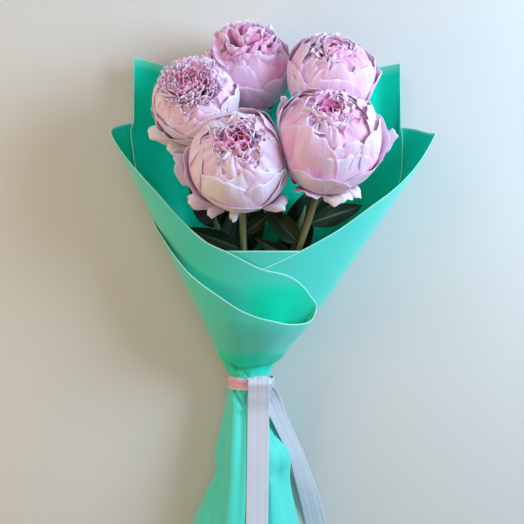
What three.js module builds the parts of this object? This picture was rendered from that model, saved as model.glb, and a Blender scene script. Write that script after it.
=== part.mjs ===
// Bunch of five double peonies in a two-sheet wrap, tied with a satin ribbon and laid on its back.
// Millimetres. +X right, +Y from the cut ends to the flowers, +Z up from the surface it lies on.
// Every level is counted along Y from the tie, where the ribbon goes round.
import * as THREE from 'three';

// Flowers
const bloomRadius = 47;
const bunchBase = 194;        // tie to the underside of the lowest flower
const petalThickness = 1.2;
const petalGap = 1.3;         // air between a petal and the next layer in
const stemDiameter = 7;
const stemTail = 150;         // stem below the tie
const stemGap = 1.2;          // least room between two stems in the tie, and round the bundle

// Wrap
const sheetThickness = 1;
const sheetPitch = 2.2;       // from one layer of sheet to the next
const cornerRise = 87;        // bunch base to the two front corners of the outer sheet
const sideRoomLeft = 56;      // widest flower to the sheet at its corner
const sideRoomRight = 73;
const frontRoom = 6;          // middle of the front flowers to the front of the wrap carried on up
const skirtLength = 225;
const skirtSpread = 0.22;     // half width gained for each millimetre below the tie
const skirtRise = 0.14;
const panelRise = 17;         // centre of the back flower to the top of the back panel
const pocketDepth = 31;       // how far the rolled front stands off the wrap

// Ribbon
const ribbonWidth = 21;
const ribbonThickness = 1;
const bandHeight = 13;        // the ribbon is bunched narrower where it goes round
const knotLength = 19;
const knotDepth = 10;
const knotX = 11;             // the knot sits to the right of the middle
const knotLevel = -3;
const frontTailEnd = 212;     // tie to the end of the front tail
const fitGap = 0.4;           // between two pieces that touch

// Each flower: centre in bloom radii from the middle of the tie and the bunch base, its own size,
// the lean of its face from straight up towards +Y and towards +X, and its place in the tie.
const blooms = [
  { name: 'front_left', at: [-0.24, 1.0, 3.2], size: 0.99, lean: [25, -4], cell: [-0.5, 1.15], spin: 20 },
  { name: 'front_right', at: [1.8, 1.5, 3.2], size: 1.03, lean: [38, 6], cell: [1.1, 1.0], spin: 65 },
  { name: 'left', at: [-1.24, 2.5, 2.36], size: 0.9, lean: [30, -10], cell: [-1.6, 0.0], spin: 110 },
  { name: 'back_centre', at: [-0.06, 3.46, 1.2], size: 0.93, lean: [48, 0], cell: [-0.6, -1.15], spin: 5 },
  { name: 'back_right', at: [1.96, 3.2, 1.98], size: 0.93, lean: [48, 4], cell: [1.2, -0.95], spin: 40 },
];

// Guard petals of one flower: middle turn, half width, lowest and highest angle from the stem, layer.
const guardPetals = [
  { name: 'a', turn: 0, spread: 52, low: 26, high: 118, layer: 1 },
  { name: 'b', turn: 120, spread: 54, low: 26, high: 108, layer: 1 },
  { name: 'c', turn: 240, spread: 53, low: 26, high: 114, layer: 1 },
  { name: 'd', turn: 62, spread: 50, low: 24, high: 96, layer: 2 },
  { name: 'e', turn: 200, spread: 56, low: 24, high: 92, layer: 2 },
];

// Leaves: the stem each grows from, how far along it (0 at the flower, 1 at the tie), the way it
// points, and its length.
const leaves = [
  { name: 'leaf_front_left_low', stem: 'front_left', along: 0.3, point: [-0.75, 0.35, 0.28], length: 62 },
  { name: 'leaf_front_left_curled', stem: 'front_left', along: 0.26, point: [0.5, 0.5, 0.1], length: 46 },
  { name: 'leaf_front_middle', stem: 'front_left', along: 0.48, point: [0.62, 0.5, 0.1], length: 50 },
  { name: 'leaf_front_right_low', stem: 'front_right', along: 0.42, point: [-0.6, 0.45, 0.5], length: 52 },
  { name: 'leaf_front_right_wide', stem: 'front_right', along: 0.28, point: [0.85, 0.3, -0.1], length: 66 },
  { name: 'leaf_left_side', stem: 'left', along: 0.22, point: [-0.75, 0.45, 0.15], length: 60 },
  { name: 'leaf_back_centre', stem: 'back_centre', along: 0.3, point: [0.75, 0.5, 0.35], length: 60 },
  { name: 'leaf_back_right', stem: 'back_right', along: 0.22, point: [0.85, 0.4, -0.2], length: 64 },
];
const leafWidth = 26;
const leafThickness = 1.2;

// The side tail, from the knot down to the surface: its level, its middle's distance out from the
// skirt's widest line, its height as a share of the tie's, and how steeply its width slopes.
const sideTail = [
  { level: -15, out: 3, height: 0.93, slope: 48 },
  { level: -36, out: 5, height: 0.78, slope: 46 },
  { level: -60, out: 8.5, height: 0.58, slope: 45 },
  { level: -84, out: 12.5, height: 0.38, slope: 42 },
  { level: -112, out: 16, height: 0.19, slope: 30 },
  { level: -140, out: 18.5, height: 0.05, slope: 8 },
  { level: -168, out: 18.5, height: 0, slope: 0 },
  { level: -198, out: 18.5, height: 0, slope: 0 },
  { level: -228, out: 19, height: 0, slope: 0 },
];

// Sheets. A station is the turn round the wrap in degrees (0 right, 90 front, 180 left, 270 back),
// the rim's level as a share of the corner level, and for the outer sheet which layer it is in and
// how much of the rolled pocket it carries.
const outerStations = [
  { turn: 118, rim: 0.40, layer: 1, roll: 0 },
  { turn: 88, rim: 0.466, layer: 1, roll: 0 },
  { turn: 66, rim: 0.527, layer: 1, roll: 0 },
  { turn: 46, rim: 0.608, layer: 1, roll: 0 },
  { turn: 31, rim: 0.70, layer: 1, roll: 0 },
  { turn: 16, rim: 0.80, layer: 1, roll: 0 },
  { turn: 2, rim: 0.996, layer: 1, roll: 0 },
  { turn: -38, rim: 1.045, layer: 1, roll: 0 },
  { turn: -142, rim: 1.065, layer: 2, roll: 0 },
  { turn: -180, rim: 1.0, layer: 2, roll: 0 },
  { turn: -194, rim: 0.897, layer: 2, roll: 0 },
  { turn: -210, rim: 0.772, layer: 2, roll: 0 },
  { turn: -222, rim: 0.662, layer: 2, roll: 0 },
  { turn: -234, rim: 0.577, layer: 2, roll: 0 },
  { turn: -252, rim: 0.52, layer: 2, roll: 0 },
  { turn: -272, rim: 0.466, layer: 2, roll: 0 },
  { turn: -288, rim: 0.443, layer: 2, roll: 0.02 },
  { turn: -302, rim: 0.413, layer: 2.1, roll: 0.06 },
  { turn: -314, rim: 0.37, layer: 2.3, roll: 0.2 },
  { turn: -321, rim: 0.32, layer: 2.5, roll: 0.5 },
  { turn: -318, rim: 0.274, layer: 2.7, roll: 0.8 },
  { turn: -308, rim: 0.253, layer: 2.9, roll: 0.96 },
  { turn: -296, rim: 0.25, layer: 3, roll: 1 },
  { turn: -280, rim: 0.268, layer: 3, roll: 1 },
  { turn: -262, rim: 0.303, layer: 3, roll: 0.9 },
  { turn: -242, rim: 0.37, layer: 3, roll: 0.66 },
  { turn: -222, rim: 0.448, layer: 3, roll: 0.4 },
  { turn: -206, rim: 0.527, layer: 3, roll: 0.18 },
  { turn: -194, rim: 0.60, layer: 3, roll: 0.06 },
  { turn: -180, rim: 0.648, layer: 3, roll: 0 },
  { turn: -140, rim: 0.78, layer: 3, roll: 0 },
  { turn: -90, rim: 0.86, layer: 3, roll: 0 },
  { turn: -44, rim: 0.90, layer: 3, roll: 0 },
];
// The inner sheet's rim: side walls and front wall as shares of the corner level.
const innerFront = [
  { turn: 113, rim: 0.534 },
  { turn: 66, rim: 0.534 },
  { turn: 45, rim: 0.598 },
  { turn: 28, rim: 0.70 },
  { turn: 0, rim: 0.74 },
  { turn: -15, rim: 0.79 },
  { turn: -32, rim: 0.91 },
  { turn: -39, rim: 1.04 },
];
const innerBack = [
  { turn: -40, drop: 6 },
  { turn: -62, drop: 10 },
  { turn: -90, drop: 20 },
  { turn: -124, drop: 9 },
  { turn: -145, drop: 0 },
];
const innerLeft = [
  { turn: -146, rim: 1.06 },
  { turn: -160, rim: 0.93 },
  { turn: -175, rim: 0.82 },
  { turn: -190, rim: 0.745 },
  { turn: -215, rim: 0.67 },
  { turn: -232, rim: 0.58 },
  { turn: -241, rim: 0.534 },
];

// Worked out from the sizes above.
const cornerLevel = bunchBase + cornerRise;
const outerLayer = 3;
const cellPitch = stemDiameter + stemGap;
const bundleRadius = 1.75 * cellPitch + stemDiameter / 2;
const tieHalfWidth = bundleRadius + stemGap + outerLayer * sheetPitch + sheetThickness / 2;
const tieHeight = 2 * tieHalfWidth;
const tieClearance = ribbonThickness + 2 * fitGap + sheetThickness / 2 + 0.4;
const tieStraight = bandHeight / 2 + 1;
const tieEase = 10;
const tieReach = 22;          // how far each way the tie lifts the wrap off the surface
const widest = 0.42;          // height of the widest part of the wrap, as a share of its height
const backFlat = 0.35;        // how much the back is pressed flat by the surface
const bunchLeft = bloomRadius * (1.24 + 0.9);
const bunchRight = bloomRadius * (1.8 + 1.03);
const coneLeft = (bunchLeft + sideRoomLeft - tieHalfWidth) / pastTie(cornerLevel);
const coneRight = (bunchRight + sideRoomRight - tieHalfWidth) / pastTie(cornerLevel);
const frontRise = bloomRadius * 3.2 + frontRoom - tieHeight;
const coneRise = frontRise / pastTie(bunchBase + bloomRadius);
const panelTop = bunchBase + 3.46 * bloomRadius + panelRise;
const panelFreeze = 1.03 * cornerLevel;
const bandGrow = fitGap + ribbonThickness / 2 + 0.8;
const bandTop = tieClearance + tieHeight + bandGrow + ribbonThickness / 2;
const pocketStart = 10;
const pocketFull = 75;

function softStep(value) {
  const t = Math.min(Math.max(value, 0), 1);
  return t * t * (3 - 2 * t);
}

// How far a level is past the straight stretch under the ribbon, easing in so that there is no crease.
function pastTie(distance) {
  const past = Math.max(distance - tieStraight, 0);
  return past * past / (past + tieEase);
}

// Half width, sideways centre, height and lift of the wrap at a level.
function wrapSection(level) {
  const up = pastTie(level);
  const down = pastTie(-level);
  const left = tieHalfWidth + coneLeft * up + skirtSpread * down;
  const right = tieHalfWidth + coneRight * up + skirtSpread * down;
  return {
    half: (left + right) / 2,
    centre: (right - left) / 2,
    height: tieHeight + coneRise * up + skirtRise * down,
    lift: tieClearance * Math.exp(-((level / tieReach) ** 2)),
  };
}

// A point in the middle of a sheet: an oval section, flat where it lies on the surface.
function wrapPoint(level, turn, layer, stand) {
  const { half, centre, height, lift } = wrapSection(level);
  const inset = (outerLayer - layer) * sheetPitch + sheetThickness / 2;
  const cos = Math.cos(turn);
  const sin = Math.sin(turn);
  const middle = lift + widest * height;
  const x = centre + (half - inset + stand) * cos;
  if (sin >= 0) {
    return [x, middle + ((1 - widest) * height - inset + stand) * sin];
  }
  const depth = widest * height * (1 + backFlat * softStep(Math.abs(level) / 60));
  return [x, Math.max(middle + (depth - inset) * sin, lift + inset)];
}

// A closed shell of even thickness on a grid of middle points, one list of points for each column.
function shellGeometry(columns, thickness) {
  const columnCount = columns.length;
  const rowCount = columns[0].length;
  const positions = [];
  const alongColumn = new THREE.Vector3();
  const acrossColumns = new THREE.Vector3();
  const sides = [1, -1];
  for (const side of sides) {
    for (let i = 0; i < columnCount; i += 1) {
      for (let j = 0; j < rowCount; j += 1) {
        const before = columns[Math.max(i - 1, 0)][j];
        const after = columns[Math.min(i + 1, columnCount - 1)][j];
        const below = columns[i][Math.max(j - 1, 0)];
        const above = columns[i][Math.min(j + 1, rowCount - 1)];
        acrossColumns.subVectors(after, before);
        alongColumn.subVectors(above, below);
        const normal = acrossColumns.clone().cross(alongColumn).normalize();
        const point = columns[i][j].clone().addScaledVector(normal, side * thickness / 2);
        positions.push(point.x, point.y, point.z);
      }
    }
  }
  const index = [];
  const far = columnCount * rowCount;
  const at = (i, j) => i * rowCount + j;
  const quad = (a, b, c, d) => index.push(a, b, c, a, c, d);
  for (let i = 0; i < columnCount - 1; i += 1) {
    for (let j = 0; j < rowCount - 1; j += 1) {
      quad(at(i, j), at(i + 1, j), at(i + 1, j + 1), at(i, j + 1));
      quad(far + at(i, j), far + at(i, j + 1), far + at(i + 1, j + 1), far + at(i + 1, j));
    }
  }
  const top = rowCount - 1;
  const end = columnCount - 1;
  for (let i = 0; i < end; i += 1) {
    quad(at(i, 0), far + at(i, 0), far + at(i + 1, 0), at(i + 1, 0));
    quad(at(i, top), at(i + 1, top), far + at(i + 1, top), far + at(i, top));
  }
  for (let j = 0; j < top; j += 1) {
    quad(at(0, j), at(0, j + 1), far + at(0, j + 1), far + at(0, j));
    quad(at(end, j), far + at(end, j), far + at(end, j + 1), at(end, j + 1));
  }
  return indexedGeometry(positions, index);
}

function indexedGeometry(positions, index) {
  const geometry = new THREE.BufferGeometry();
  geometry.setAttribute('position', new THREE.Float32BufferAttribute(positions, 3));
  geometry.setIndex(index);
  geometry.computeVertexNormals();
  return geometry;
}

// A closed tube of even section along a curve, its ends capped by fans.
function tubeGeometry(curve, radius, steps, sides) {
  const frames = curve.computeFrenetFrames(steps, false);
  const positions = [];
  const index = [];
  for (let i = 0; i <= steps; i += 1) {
    const centre = curve.getPointAt(i / steps);
    for (let k = 0; k < sides; k += 1) {
      const angle = 2 * Math.PI * k / sides;
      const point = centre.clone();
      point.addScaledVector(frames.normals[i], radius * Math.cos(angle));
      point.addScaledVector(frames.binormals[i], radius * Math.sin(angle));
      positions.push(point.x, point.y, point.z);
    }
  }
  for (let i = 0; i < steps; i += 1) {
    for (let k = 0; k < sides; k += 1) {
      const next = (k + 1) % sides;
      const a = i * sides + k;
      const b = i * sides + next;
      index.push(a, b, b + sides, a, b + sides, a + sides);
    }
  }
  const last = steps * sides;
  for (let k = 1; k < sides - 1; k += 1) {
    index.push(0, k + 1, k);
    index.push(last, last + k, last + k + 1);
  }
  return indexedGeometry(positions, index);
}

const bunch = new THREE.Group();
const shades = {
  sheet: { color: 0x3ec9ac, roughness: 0.62, metalness: 0 },
  petal: { color: 0xe7c3d6, roughness: 0.6, metalness: 0 },
  stem: { color: 0x6f8a4f, roughness: 0.55, metalness: 0 },
  leaf: { color: 0x2f5a34, roughness: 0.5, metalness: 0 },
  ribbon: { color: 0xf0b9c4, roughness: 0.35, metalness: 0 },
};

function addPiece(name, geometry, shade, parent = bunch) {
  const mesh = new THREE.Mesh(geometry, new THREE.MeshStandardMaterial(shade));
  mesh.name = name;
  parent.add(mesh);
  return mesh;
}

// Straight lines between stations, with a column at each station and every few degrees between.
function columnsBetween(stations, step) {
  const columns = [];
  stations.slice(1).forEach((next, i) => {
    const from = stations[i];
    const count = Math.max(1, Math.round(Math.abs(next.turn - from.turn) / step));
    for (let k = 0; k < count; k += 1) {
      const t = k / count;
      const column = {};
      for (const key of Object.keys(from)) column[key] = from[key] + (next[key] - from[key]) * t;
      columns.push(column);
    }
  });
  columns.push(stations[stations.length - 1]);
  return columns;
}

// Levels of one column of sheet: below the tie, both edges of the tie, and on up to the rim.
function columnLevels(rimLevel, bottomLevel) {
  const below = [1, 0.6, 0.28, 0.12].map((share) => bottomLevel * share);
  const above = [0.1, 0.22, 0.4, 0.6, 0.8, 1].map((share) => tieStraight + (rimLevel - tieStraight) * share);
  return [...below, -tieStraight, tieStraight, ...above];
}

function addSheets() {
  const turnStep = 9;
  const pocketRise = (level) => softStep((level - pocketStart) / (pocketFull - pocketStart));
  const outer = columnsBetween(outerStations, turnStep).map((column) => (
    columnLevels(column.rim * cornerLevel, -skirtLength).map((level) => {
      const stand = column.roll * pocketDepth * pocketRise(level);
      const turn = THREE.MathUtils.degToRad(column.turn);
      const [x, z] = wrapPoint(level, turn, column.layer, stand);
      return new THREE.Vector3(x, level, z);
    })
  ));
  addPiece('outer_sheet', shellGeometry(outer, sheetThickness), shades.sheet);

  const innerStations = [
    ...innerFront.map(({ turn, rim }) => ({ turn, rim: rim * cornerLevel })),
    ...innerBack.map(({ turn, drop }) => ({ turn, rim: panelTop - drop })),
    ...innerLeft.map(({ turn, rim }) => ({ turn, rim: rim * cornerLevel })),
  ];
  const inner = columnsBetween(innerStations, turnStep).map((column) => (
    columnLevels(column.rim, -skirtLength + 8).map((level) => {
      const turn = THREE.MathUtils.degToRad(column.turn);
      const [x, z] = wrapPoint(Math.min(level, panelFreeze), turn, 0, 0);
      return new THREE.Vector3(x, level, z);
    })
  ));
  addPiece('inner_sheet', shellGeometry(inner, sheetThickness), shades.sheet);
}

// One flower is built upright on its own axis: a ball of small petals in a cup of guard petals.
function bloomFrame(bloom) {
  const radius = bloomRadius * bloom.size;
  const tilt = THREE.MathUtils.degToRad(bloom.lean[0]);
  const side = THREE.MathUtils.degToRad(bloom.lean[1]);
  const axis = new THREE.Vector3(Math.sin(side), Math.sin(tilt), Math.cos(tilt)).normalize();
  const centre = new THREE.Vector3(
    bloomRadius * bloom.at[0],
    bunchBase + bloomRadius * bloom.at[1],
    bloomRadius * bloom.at[2],
  );
  return { radius, axis, centre };
}

const layerPitch = petalThickness + petalGap;
const calyxDepth = 5;

// Outline of the ball from the stem end to the crown, which is dimpled where the petals crowd in.
function ballGeometry(radius) {
  const profile = [];
  const steps = 9;
  for (let i = 0; i <= steps; i += 1) {
    const angle = Math.PI * i / steps;
    const dimple = 0.16 * radius * softStep((angle - 2.2) / 0.8);
    const reach = i === 0 || i === steps ? 0 : radius * Math.sin(angle);
    profile.push(new THREE.Vector2(reach, -radius * Math.cos(angle) - dimple));
  }
  return new THREE.LatheGeometry(profile, 14).rotateX(Math.PI / 2);
}

// A petal is a patch of a sphere, narrow where it joins the stem and round at its tip.
function guardGeometry(radius, petal) {
  const columnCount = 7;
  const rowCount = 7;
  const columns = [];
  for (let i = 0; i < columnCount; i += 1) {
    const across = 2 * i / (columnCount - 1) - 1;
    const column = [];
    for (let j = 0; j < rowCount; j += 1) {
      const up = j / (rowCount - 1);
      const round = 1 - 0.22 * across * across * up;
      const polar = THREE.MathUtils.degToRad(petal.low + (petal.high - petal.low) * up * round);
      const width = petal.spread * (0.55 + 0.45 * Math.sin(Math.PI * Math.min(up + 0.12, 0.92)));
      const turn = THREE.MathUtils.degToRad(petal.turn + across * width);
      column.push(new THREE.Vector3(
        radius * Math.sin(polar) * Math.cos(turn),
        radius * Math.sin(polar) * Math.sin(turn),
        -radius * Math.cos(polar),
      ));
    }
    columns.push(column);
  }
  return shellGeometry(columns, petalThickness);
}

// The green cup under the flower: a thick patch round the stem end.
function calyxGeometry(radius) {
  const profile = [];
  const steps = 4;
  const edge = THREE.MathUtils.degToRad(22);
  const onArc = (reach, angle) => new THREE.Vector2(reach * Math.sin(angle), -reach * Math.cos(angle));
  for (let i = 0; i <= steps; i += 1) profile.push(onArc(radius + calyxDepth, edge * i / steps));
  for (let i = steps; i >= 0; i -= 1) profile.push(onArc(radius, edge * i / steps));
  return new THREE.LatheGeometry(profile, 14).rotateX(Math.PI / 2);
}

function addBloom(bloom) {
  const { radius, axis, centre } = bloomFrame(bloom);
  const holder = new THREE.Group();
  holder.position.copy(centre);
  holder.quaternion.setFromUnitVectors(new THREE.Vector3(0, 0, 1), axis);
  holder.rotateZ(THREE.MathUtils.degToRad(bloom.spin));
  bunch.add(holder);
  const outside = radius - petalThickness / 2;
  addPiece(`petal_ball_${bloom.name}`, ballGeometry(outside - 2 * layerPitch), shades.petal, holder);
  for (const petal of guardPetals) {
    const reach = outside - (2 - petal.layer) * layerPitch;
    addPiece(`guard_petal_${bloom.name}_${petal.name}`, guardGeometry(reach, petal), shades.petal, holder);
  }
  addPiece(`calyx_${bloom.name}`, calyxGeometry(radius + fitGap), shades.leaf, holder);
}

// A stem leaves the calyx along the flower's axis, bends to the tie and runs on straight below it.
function stemCurve(bloom) {
  const { radius, axis, centre } = bloomFrame(bloom);
  const root = radius + calyxDepth + 2 * fitGap + 0.3;
  const tieMiddle = tieClearance + tieHeight / 2;
  const cellX = bloom.cell[0] * cellPitch;
  const cellZ = tieMiddle + bloom.cell[1] * cellPitch;
  const neck = centre.clone().addScaledVector(axis, -root);
  const straight = centre.clone().addScaledVector(axis, -root - 5);
  const bend = centre.clone().addScaledVector(axis, -root - 15).add(new THREE.Vector3(0, -8, 0));
  bend.z = Math.max(bend.z, outerLayer * sheetPitch + sheetThickness + stemDiameter + 5);
  const [above, below, cut] = [tieStraight, -tieStraight, -stemTail].map((level) => (
    new THREE.Vector3(cellX, level, cellZ)
  ));
  const middle = bend.clone().lerp(above, 0.45).add(new THREE.Vector3(0, 0, -3));
  return new THREE.CatmullRomCurve3([neck, straight, bend, middle, above, below, cut], false, 'centripetal');
}

function addStem(bloom) {
  const curve = stemCurve(bloom);
  addPiece(`stem_${bloom.name}`, tubeGeometry(curve, stemDiameter / 2, 16, 8), shades.stem);
}

// A leaf is a pointed blade with a shallow fold along its middle, drooping to its tip.
function addLeaf(leaf) {
  const bloom = blooms.find((item) => item.name === leaf.stem);
  const curve = stemCurve(bloom);
  const share = leaf.along * (curve.getLength() - stemTail) / curve.getLength();
  const direction = new THREE.Vector3(...leaf.point).normalize();
  const along = curve.getTangentAt(share);
  const outward = direction.clone().addScaledVector(along, -direction.dot(along)).normalize();
  const root = curve.getPointAt(share).addScaledVector(outward, stemDiameter / 2 + leafThickness + fitGap);
  const across = direction.clone().cross(new THREE.Vector3(0, 0, 1)).normalize();
  const upward = across.clone().cross(direction).normalize();
  const columns = [];
  const columnCount = 5;
  const rowCount = 8;
  for (let i = 0; i < columnCount; i += 1) {
    const side = 2 * i / (columnCount - 1) - 1;
    const column = [];
    for (let j = 0; j < rowCount; j += 1) {
      const up = j / (rowCount - 1);
      const half = leafWidth / 2 * (0.06 + 0.94 * Math.sin(Math.PI * up ** 0.8));
      const fold = 0.3 * half * Math.abs(side) - 6 * up * up;
      const point = root.clone().addScaledVector(direction, leaf.length * up);
      point.addScaledVector(across, half * side).addScaledVector(upward, fold);
      column.push(point);
    }
    columns.push(column);
  }
  addPiece(leaf.name, shellGeometry(columns, leafThickness), shades.leaf);
}

// The band is a ring round the tie, clear of the outer sheet all the way.
function addBand() {
  const sides = 28;
  const middle = tieClearance + widest * tieHeight;
  const positions = [];
  const index = [];
  const corners = [[0, -0.5], [1, -0.5], [1, 0.5], [0, 0.5]];
  for (let k = 0; k < sides; k += 1) {
    const turn = 2 * Math.PI * k / sides;
    for (const [out, along] of corners) {
      const stand = bandGrow + (out - 0.5) * ribbonThickness;
      const reach = Math.sin(turn) > 0 ? (1 - widest) * tieHeight + stand : widest * tieHeight + stand;
      positions.push((tieHalfWidth + stand) * Math.cos(turn), along * bandHeight, middle + reach * Math.sin(turn));
    }
  }
  for (let k = 0; k < sides; k += 1) {
    const next = (k + 1) % sides;
    for (let c = 0; c < 4; c += 1) {
      const d = (c + 1) % 4;
      const a = 4 * k + c;
      const b = 4 * k + d;
      index.push(a, b, 4 * next + d, a, 4 * next + d, 4 * next + c);
    }
  }
  addPiece('ribbon_band', indexedGeometry(positions, index), shades.ribbon);
}

// The knot is a flattened ball on the front of the band, a little to the right of the middle.
function addKnot() {
  const geometry = new THREE.SphereGeometry(1, 14, 8).scale(12, knotLength / 2, knotDepth / 2);
  geometry.translate(knotX, knotLevel, bandTop + fitGap + knotDepth / 2);
  addPiece('ribbon_knot', geometry, shades.ribbon);
}

// A flat ribbon through a list of middles, each with the direction of the ribbon's width.
function addRibbon(name, middles) {
  const columns = [-1, 0, 1].map((side) => (
    middles.map(({ middle, across }) => middle.clone().addScaledVector(across, side * ribbonWidth / 2))
  ));
  addPiece(name, shellGeometry(columns, ribbonThickness), shades.ribbon);
}

// The front tail lies straight down the front of the skirt.
function addFrontTail() {
  const start = knotLevel - knotLength / 2 - 2 * fitGap - ribbonThickness;
  const rows = 10;
  const middles = [];
  for (let j = 0; j <= rows; j += 1) {
    const level = start + (-frontTailEnd - start) * j / rows;
    const skirtTop = wrapPoint(level, Math.PI / 2, outerLayer, 0)[1];
    const settle = (1 - softStep((start - level) / 40)) * 3;
    const height = skirtTop + sheetThickness / 2 + ribbonThickness / 2 + 2 * fitGap + settle;
    middles.push({
      middle: new THREE.Vector3(knotX - 1 - 3 * j / rows, level, height),
      across: new THREE.Vector3(1, 0, 0),
    });
  }
  addRibbon('ribbon_tail_front', middles);
}

function addSideTail() {
  const middles = sideTail.map(({ level, out, height, slope }) => {
    const angle = THREE.MathUtils.degToRad(slope);
    const x = wrapSection(level).centre + wrapSection(level).half + out;
    return {
      middle: new THREE.Vector3(x, level, height * tieHeight + ribbonThickness / 2),
      across: new THREE.Vector3(Math.cos(angle), 0, -Math.sin(angle)),
    };
  });
  addRibbon('ribbon_tail_side', middles);
}

addSheets();
blooms.forEach(addBloom);
blooms.forEach(addStem);
leaves.forEach(addLeaf);
addBand();
addKnot();
addFrontTail();
addSideTail();

// The origin is under the middle of the bunch, on the surface it lies on.
const extent = new THREE.Box3().setFromObject(bunch, true);
const middleOfBunch = extent.getCenter(new THREE.Vector3());
bunch.position.set(-middleOfBunch.x, -middleOfBunch.y, 0);

export default bunch;
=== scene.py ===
import math

import bpy
import numpy as np
from numpy import cos, exp, linspace, maximum, minimum, radians, sin, stack
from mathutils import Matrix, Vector


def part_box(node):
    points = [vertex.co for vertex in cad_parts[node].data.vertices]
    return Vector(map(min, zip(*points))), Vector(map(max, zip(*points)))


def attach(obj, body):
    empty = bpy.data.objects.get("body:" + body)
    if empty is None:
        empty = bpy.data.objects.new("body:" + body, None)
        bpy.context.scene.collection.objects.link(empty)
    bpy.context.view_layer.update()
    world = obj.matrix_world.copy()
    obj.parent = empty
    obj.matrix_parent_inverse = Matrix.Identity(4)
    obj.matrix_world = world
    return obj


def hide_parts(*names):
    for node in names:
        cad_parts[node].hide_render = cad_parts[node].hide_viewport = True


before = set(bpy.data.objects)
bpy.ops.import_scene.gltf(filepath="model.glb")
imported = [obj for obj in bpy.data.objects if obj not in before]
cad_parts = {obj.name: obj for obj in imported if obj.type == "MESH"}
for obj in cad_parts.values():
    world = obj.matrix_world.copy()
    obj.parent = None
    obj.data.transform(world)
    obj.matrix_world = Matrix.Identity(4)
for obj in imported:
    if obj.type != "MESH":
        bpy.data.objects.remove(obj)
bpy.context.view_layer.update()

# A laid-down bunch of peonies, seen from straight above. Shapes are in millimetres from the middle of
# the tie: X right, Y towards the flowers, Z up from the surface. inFrame turns them into metres.
mm = 0.001
bandLow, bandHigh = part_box("ribbon_band")
tieX = (bandLow.x + bandHigh.x) / 2
tieY = (bandLow.y + bandHigh.y) / 2


def inFrame(points):
    return np.asarray(points, float) * mm + np.array([tieX, tieY, 0.0])


def fromFrame(point):
    return (np.array(point) - np.array([tieX, tieY, 0.0])) / mm


def smooth(t):
    t = np.clip(t, 0, 1)
    return t * t * (3 - 2 * t)


# A bell: one in the middle, falling off over a width.
def bell(x, middle, width, power=2):
    return exp(-((x - middle) / width) ** power)


def unit(v):
    v = np.asarray(v, float)
    return v / maximum(np.linalg.norm(v, axis=-1, keepdims=True), 1e-9)


def linked(name, data):
    obj = bpy.data.objects.new(name, data)
    bpy.context.scene.collection.objects.link(obj)
    return obj


# Camera and lights

camera = dict(aim=(13.8, 138.0), planeHeight=60.0, distance=1250.0, angle=26.42)


def makeCamera():
    data = bpy.data.cameras.new("camera")
    data.angle = math.radians(camera["angle"])
    obj = linked("camera", data)
    obj.location = inFrame([*camera["aim"], camera["planeHeight"] + camera["distance"]])
    bpy.context.scene.camera = obj


world = dict(colour=(1.0, 0.90, 0.76, 1), strength=0.22)
lightAim = (10, 170, 60)
lights = dict(
    key=dict(place=(980, 490, 680), size=600, power=20.5, colour=(0.58, 0.80, 1.0)),
    fill=dict(place=(-860, 40, 620), size=620, power=4.2, colour=(1.0, 0.70, 0.30)),
    front=dict(place=(40, 330, 1350), size=900, power=1.9, colour=(0.92, 0.92, 0.92)),
    head=dict(place=(-430, 880, 640), size=520, power=2.3, colour=(0.80, 0.86, 1.0)),
)


def makeLights():
    for name, s in lights.items():
        data = bpy.data.lights.new(name, "AREA")
        data.energy = s["power"]
        data.size = s["size"] * mm
        data.color = s["colour"]
        obj = linked(name, data)
        place = Vector(inFrame(s["place"]))
        aim = Vector(inFrame(lightAim))
        obj.location = place
        obj.rotation_euler = (aim - place).to_track_quat("-Z", "Y").to_euler()
    studio = bpy.data.worlds.new("studio")
    studio.use_nodes = True
    background = studio.node_tree.nodes["Background"]
    background.inputs["Color"].default_value = world["colour"]
    background.inputs["Strength"].default_value = world["strength"]
    bpy.context.scene.world = studio
    bpy.context.scene.view_settings.view_transform = "Standard"


# Shader groups and materials

class NodeBench:
    # Adds nodes to one tree and wires them by socket name.
    def __init__(self, tree):
        self.tree = tree

    def give(self, value, socket):
        if isinstance(value, bpy.types.NodeSocket):
            self.tree.links.new(value, socket)
        else:
            socket.default_value = value

    def add(self, kind, inputs=(), **settings):
        node = self.tree.nodes.new(kind)
        for key, value in settings.items():
            setattr(node, key, value)
        for key, value in dict(inputs).items():
            self.give(value, node.inputs[key])
        return node

    def math(self, operation, a, b=0.0, c=0.0, clamp=False):
        inputs = {0: a, 1: b, 2: c}
        return self.add("ShaderNodeMath", inputs, operation=operation, use_clamp=clamp).outputs[0]

    def mix(self, factor, a, b):
        a, b = (c if isinstance(c, bpy.types.NodeSocket) else (*c, 1) for c in (a, b))
        return self.add("ShaderNodeMix", {0: factor, 6: a, 7: b}, data_type="RGBA").outputs[2]

    def noise(self, place, scale, detail):
        inputs = {"Vector": place, "Scale": scale, "Detail": detail}
        return self.add("ShaderNodeTexNoise", inputs).outputs[0]

    def attribute(self, name):
        return self.add("ShaderNodeAttribute", attribute_name=name).outputs["Fac"]

    def group(self, tree, inputs):
        return self.add("ShaderNodeGroup", inputs, node_tree=tree).outputs


# A group's inputs are numbers with their defaults, or None for a vector; its outputs are numbers.
def newGroup(name, inputs, outputs):
    tree = bpy.data.node_groups.new(name, "ShaderNodeTree")
    for label, value in inputs.items():
        kind = "NodeSocketVector" if value is None else "NodeSocketFloat"
        socket = tree.interface.new_socket(label, in_out="INPUT", socket_type=kind)
        if value is not None:
            socket.default_value = value
    for label in outputs:
        tree.interface.new_socket(label, in_out="OUTPUT", socket_type="NodeSocketFloat")
    bench = NodeBench(tree)
    return bench, bench.add("NodeGroupInput").outputs, bench.add("NodeGroupOutput").inputs, tree


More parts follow.
